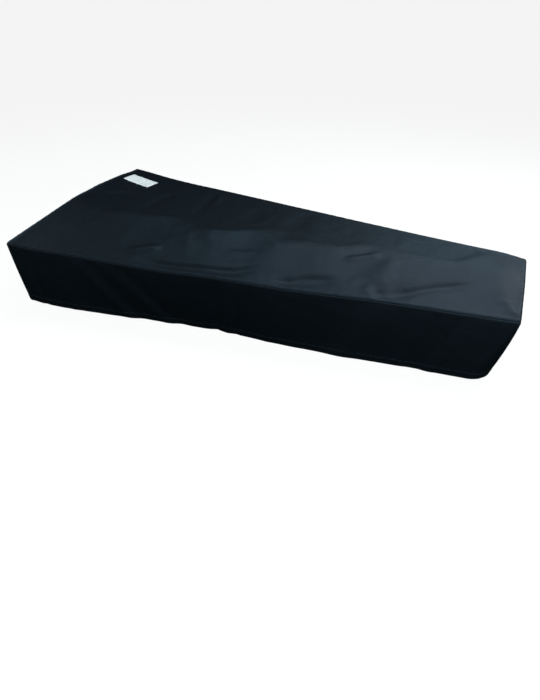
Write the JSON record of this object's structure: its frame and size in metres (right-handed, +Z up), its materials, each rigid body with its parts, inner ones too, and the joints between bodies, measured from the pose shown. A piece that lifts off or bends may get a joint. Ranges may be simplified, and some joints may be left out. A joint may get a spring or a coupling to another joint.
{
  "type": "xylophone cover",
  "caption": "Fitted dust cover of dark coated cloth for a tapered table xylophone: sloping trapezoid top and a deep hanging skirt, hollow and open below.",
  "frame": {"origin": "underside of the top panel at the middle of the cover's length and depth, where the instrument holds it up", "axes": "+X along the length from the wide bass end to the narrow treble end, +Y to the back, +Z up"},
  "size_m": [1.2353, 0.583, 0.23],
  "materials": {
    "cover_cloth": "dark navy coated woven polyester with a soft sheen",
    "label_cloth": "white satin-woven sewn label"
  },
  "bodies": {
    "root": {"top_panel": "cover_cloth", "front_skirt": "cover_cloth", "narrow_end_skirt": "cover_cloth", "back_skirt": "cover_cloth", "wide_end_skirt": "cover_cloth", "label": "label_cloth"}
  },
  "joints": []
}
